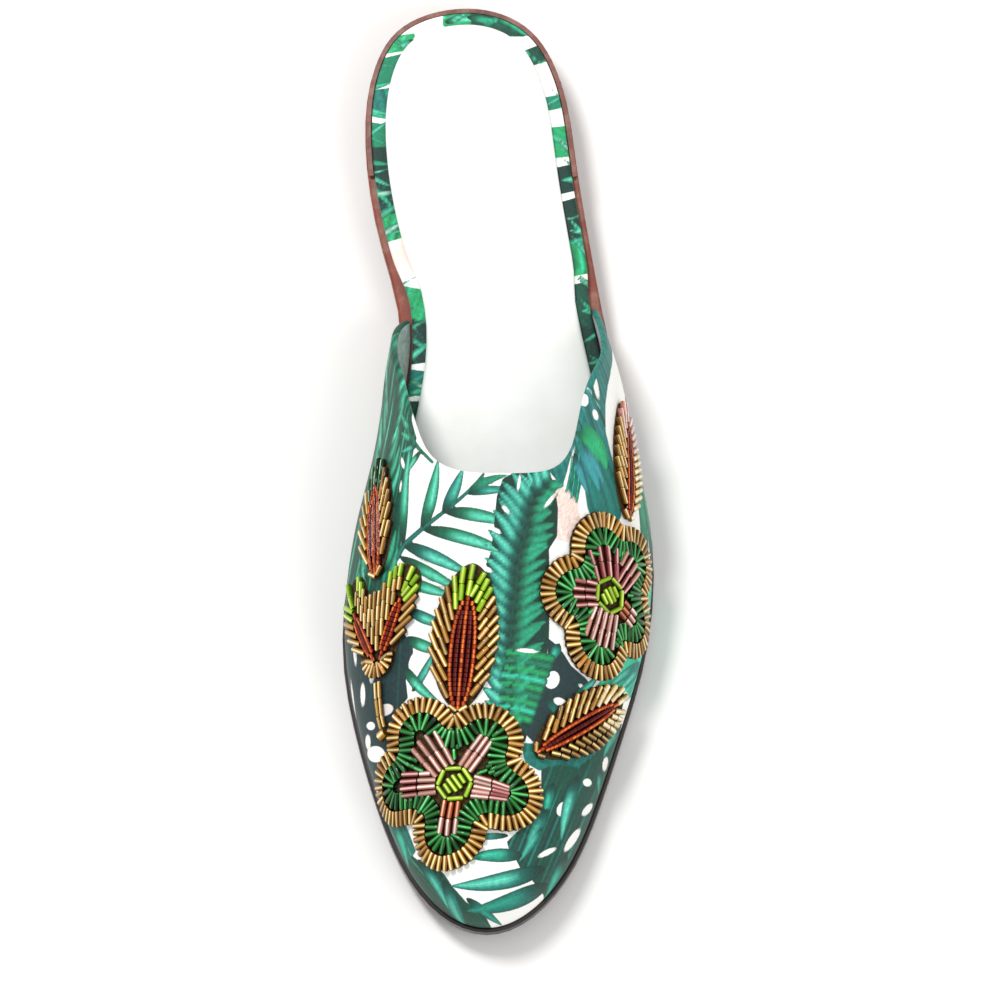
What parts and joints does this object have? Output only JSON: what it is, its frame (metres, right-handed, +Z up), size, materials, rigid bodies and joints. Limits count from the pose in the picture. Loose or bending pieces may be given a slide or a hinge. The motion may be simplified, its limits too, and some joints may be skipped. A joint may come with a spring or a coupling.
{
  "type": "mule",
  "caption": "Flat backless slip-on shoe for the left foot, with a pointed toe, a printed cloth vamp, raised glass beadwork, a padded sock and a low heel.",
  "frame": {"origin": "middle of the overall box on the ground, under the waist of the sole", "axes": "+Z up, the toe points to -Y and the heel to +Y, the big-toe side is -X"},
  "size_m": [0.0822, 0.255, 0.0511],
  "materials": {
    "sole_leather": "stained and burnished leather edge",
    "heel_stack": "stained leather, slightly glossy",
    "heel_rubber": "matt black rubber",
    "leaf_print_cloth": "woven cloth printed with tropical leaves on a white ground",
    "white_sock": "soft white padded lining leather",
    "glass_beads": "glossy silver-lined glass beads in gold, green, lime, pink and red"
  },
  "bodies": {
    "root": {"outsole": "sole_leather", "heel_lift": "heel_stack", "heel_top_piece": "heel_rubber", "heel_rand": "heel_stack", "insole_board": "leaf_print_cloth", "sock": "white_sock", "upper": "leaf_print_cloth", "flower_toe": "glass_beads", "flower_side": "glass_beads", "leaf_fan_medial": "glass_beads", "leaf_centre": "glass_beads", "leaf_toe_side": "glass_beads", "leaf_lateral": "glass_beads", "leaf_medial": "glass_beads", "bead_stem": "glass_beads"}
  },
  "joints": []
}
